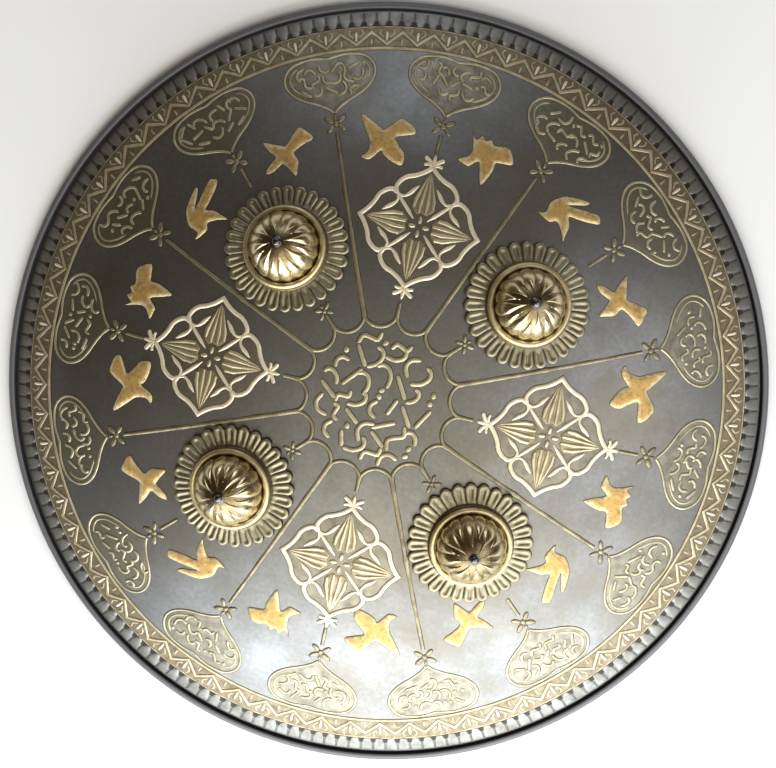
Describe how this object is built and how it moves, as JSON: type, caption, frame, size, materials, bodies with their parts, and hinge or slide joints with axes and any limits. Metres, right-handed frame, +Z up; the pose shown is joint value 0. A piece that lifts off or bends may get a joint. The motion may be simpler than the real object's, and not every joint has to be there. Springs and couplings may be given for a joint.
{
  "type": "round shield",
  "caption": "Round domed steel hand shield with brass bosses on petalled rosettes, a rolled rim and leather straps inside.",
  "frame": {"origin": "on the ground under the middle of the dome, with the shield lying on its rim, crown up", "axes": "+Z up through the crown of the dome; the bosses lie midway between the X and Y directions and the straps run along X"},
  "size_m": [0.38, 0.38, 0.0702],
  "materials": {
    "steel": "blackened, polished and worn",
    "brass": "polished, dulled in the hollows",
    "dark_brass": "darkened",
    "gilding": "gilded lines, worn",
    "silver": "bright inlay, slightly dulled",
    "leather": "worn brown leather"
  },
  "bodies": {
    "root": {"shell": "steel", "boss_1": "brass", "boss_2": "brass", "boss_3": "brass", "boss_4": "brass", "rosette_1": "dark_brass", "rosette_2": "dark_brass", "rosette_3": "dark_brass", "rosette_4": "dark_brass", "washer_1": "steel", "washer_2": "steel", "washer_3": "steel", "washer_4": "steel", "hand_strap": "leather", "arm_strap": "leather"}
  },
  "joints": []
}
